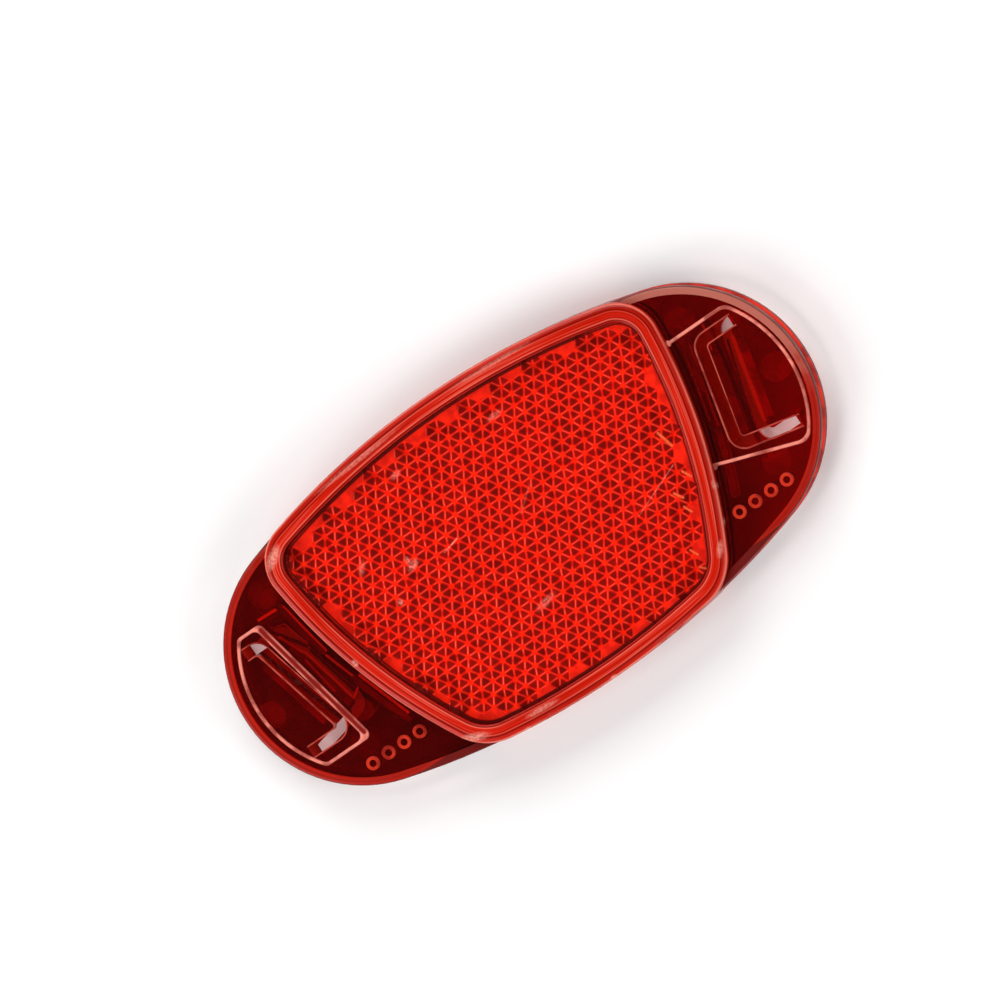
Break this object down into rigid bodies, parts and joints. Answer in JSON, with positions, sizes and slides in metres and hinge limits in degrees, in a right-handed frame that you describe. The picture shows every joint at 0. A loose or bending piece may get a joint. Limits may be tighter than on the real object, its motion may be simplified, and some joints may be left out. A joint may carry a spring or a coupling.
{
  "type": "bicycle spoke reflector",
  "caption": "Oval red clip-on reflector for a spoked wheel, reflecting to both sides, with sprung clips in its two wings that snap onto spokes.",
  "frame": {"origin": "under the middle of the oval, at the height of the back bezel's flat face", "axes": "+X along the length, +Y along the short axis towards the wheel rim, where the window is widest, +Z out of the front window"},
  "size_m": [0.09, 0.045, 0.009],
  "materials": {
    "front_plastic": "clear red, glossy",
    "back_plastic": "clear red, glossy"
  },
  "bodies": {
    "root": {"front_shell": "front_plastic", "back_shell": "back_plastic"}
  },
  "joints": []
}
